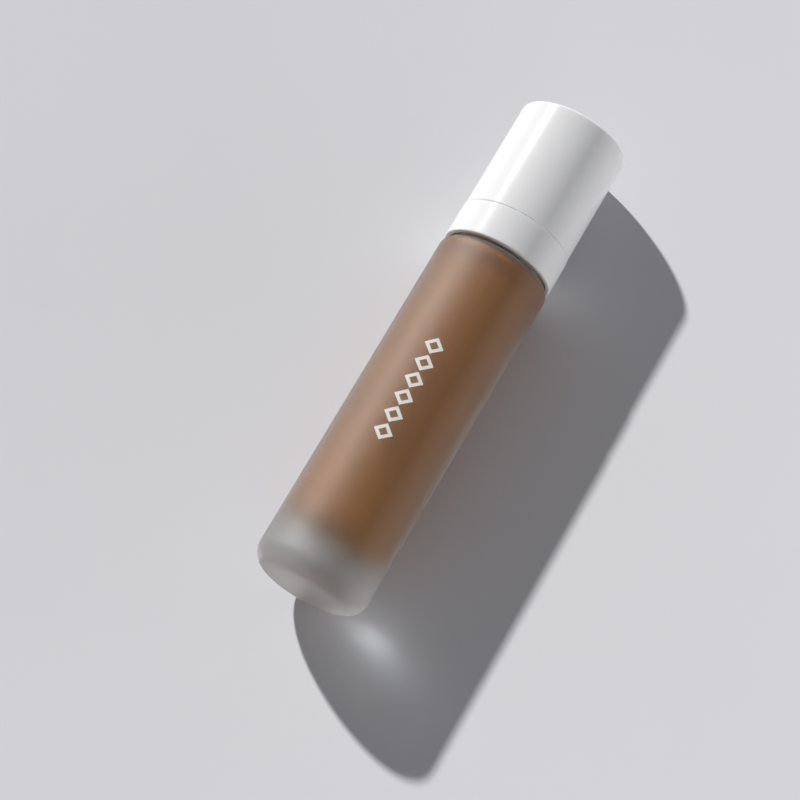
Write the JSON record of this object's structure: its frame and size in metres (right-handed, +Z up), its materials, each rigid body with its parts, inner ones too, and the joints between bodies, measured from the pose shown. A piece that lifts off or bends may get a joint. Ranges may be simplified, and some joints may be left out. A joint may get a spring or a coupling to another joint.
{
  "type": "foundation bottle",
  "caption": "Frosted glass cosmetic bottle holding liquid foundation, with a screw-on dosing pump, white collar and pull-off white cap.",
  "frame": {"origin": "centre of the base, on the plane the bottle stands on", "axes": "+Z up along the bottle's axis, -Y towards the front, where the pump's nozzle points"},
  "size_m": [0.03, 0.0301, 0.1372],
  "materials": {
    "frosted_glass": "acid-frosted outside, clear inside",
    "foundation": "opaque liquid, wet",
    "mark_ink": "screen-printed ink",
    "foam": "closed-cell foam",
    "natural_plastic": "as moulded, natural",
    "seal_plastic": "soft, as moulded",
    "clear_plastic": "translucent extruded tube",
    "steel": "drawn stainless steel",
    "white_matt_plastic": "fine satin, as moulded",
    "white_gloss_plastic": "polished white"
  },
  "bodies": {
    "bottle": {"glass_bottle": "frosted_glass", "foundation_liquid": "foundation", "printed_mark": "mark_ink"},
    "pump": {"neck_gasket": "foam", "pump_housing": "natural_plastic", "chaplet": "natural_plastic", "stem_wiper": "seal_plastic", "ball_retainer": "natural_plastic", "dip_tube": "clear_plastic", "return_spring": "steel"},
    "inlet_valve": {"inlet_ball": "steel"},
    "plunger": {"stem": "natural_plastic", "lower_stem": "natural_plastic", "piston": "seal_plastic"},
    "outlet_valve": {"outlet_ball": "steel"},
    "button": {"actuator_core": "white_matt_plastic", "button_shell": "white_gloss_plastic", "nozzle_insert": "white_matt_plastic"},
    "closure": {"closure_ring": "white_matt_plastic", "collar_sleeve": "white_gloss_plastic"},
    "cap": {"cap_shell": "white_gloss_plastic", "cap_liner": "white_matt_plastic"}
  },
  "joints": [
    {"name": "closure_unscrew", "type": "hinge", "parent": "pump", "child": "closure", "pos_m": [0, 0, 0.1], "axis": [0, 0, 1], "range_deg": [0, 720]},
    {"name": "pump_lift", "type": "slide", "parent": "bottle", "child": "pump", "axis": [0, 0, 1], "range_m": [0, 0.00636]},
    {"name": "cap_pull", "type": "slide", "parent": "closure", "child": "cap", "axis": [0, 0, 1], "range_m": [0, 0.03]},
    {"name": "pump_stroke", "type": "slide", "parent": "pump", "child": "plunger", "axis": [0, 0, -1], "range_m": [0, 0.0045], "stiffness_N_per_m": 800, "springref_m": -0.004, "deforming": ["return_spring"]},
    {"name": "button_swivel", "type": "hinge", "parent": "plunger", "child": "button", "pos_m": [0, 0, 0.118], "axis": [0, 0, 1], "continuous": true},
    {"name": "inlet_ball_lift", "type": "slide", "parent": "pump", "child": "inlet_valve", "axis": [0, 0, 1], "range_m": [0, 0.001]},
    {"name": "outlet_ball_lift", "type": "slide", "parent": "plunger", "child": "outlet_valve", "axis": [0, 0, 1], "range_m": [0, 0.0008]}
  ],
  "couplings": [
    {"joint": "pump_lift", "follows": "closure_unscrew", "m_per_rad": 0.00050532}
  ]
}
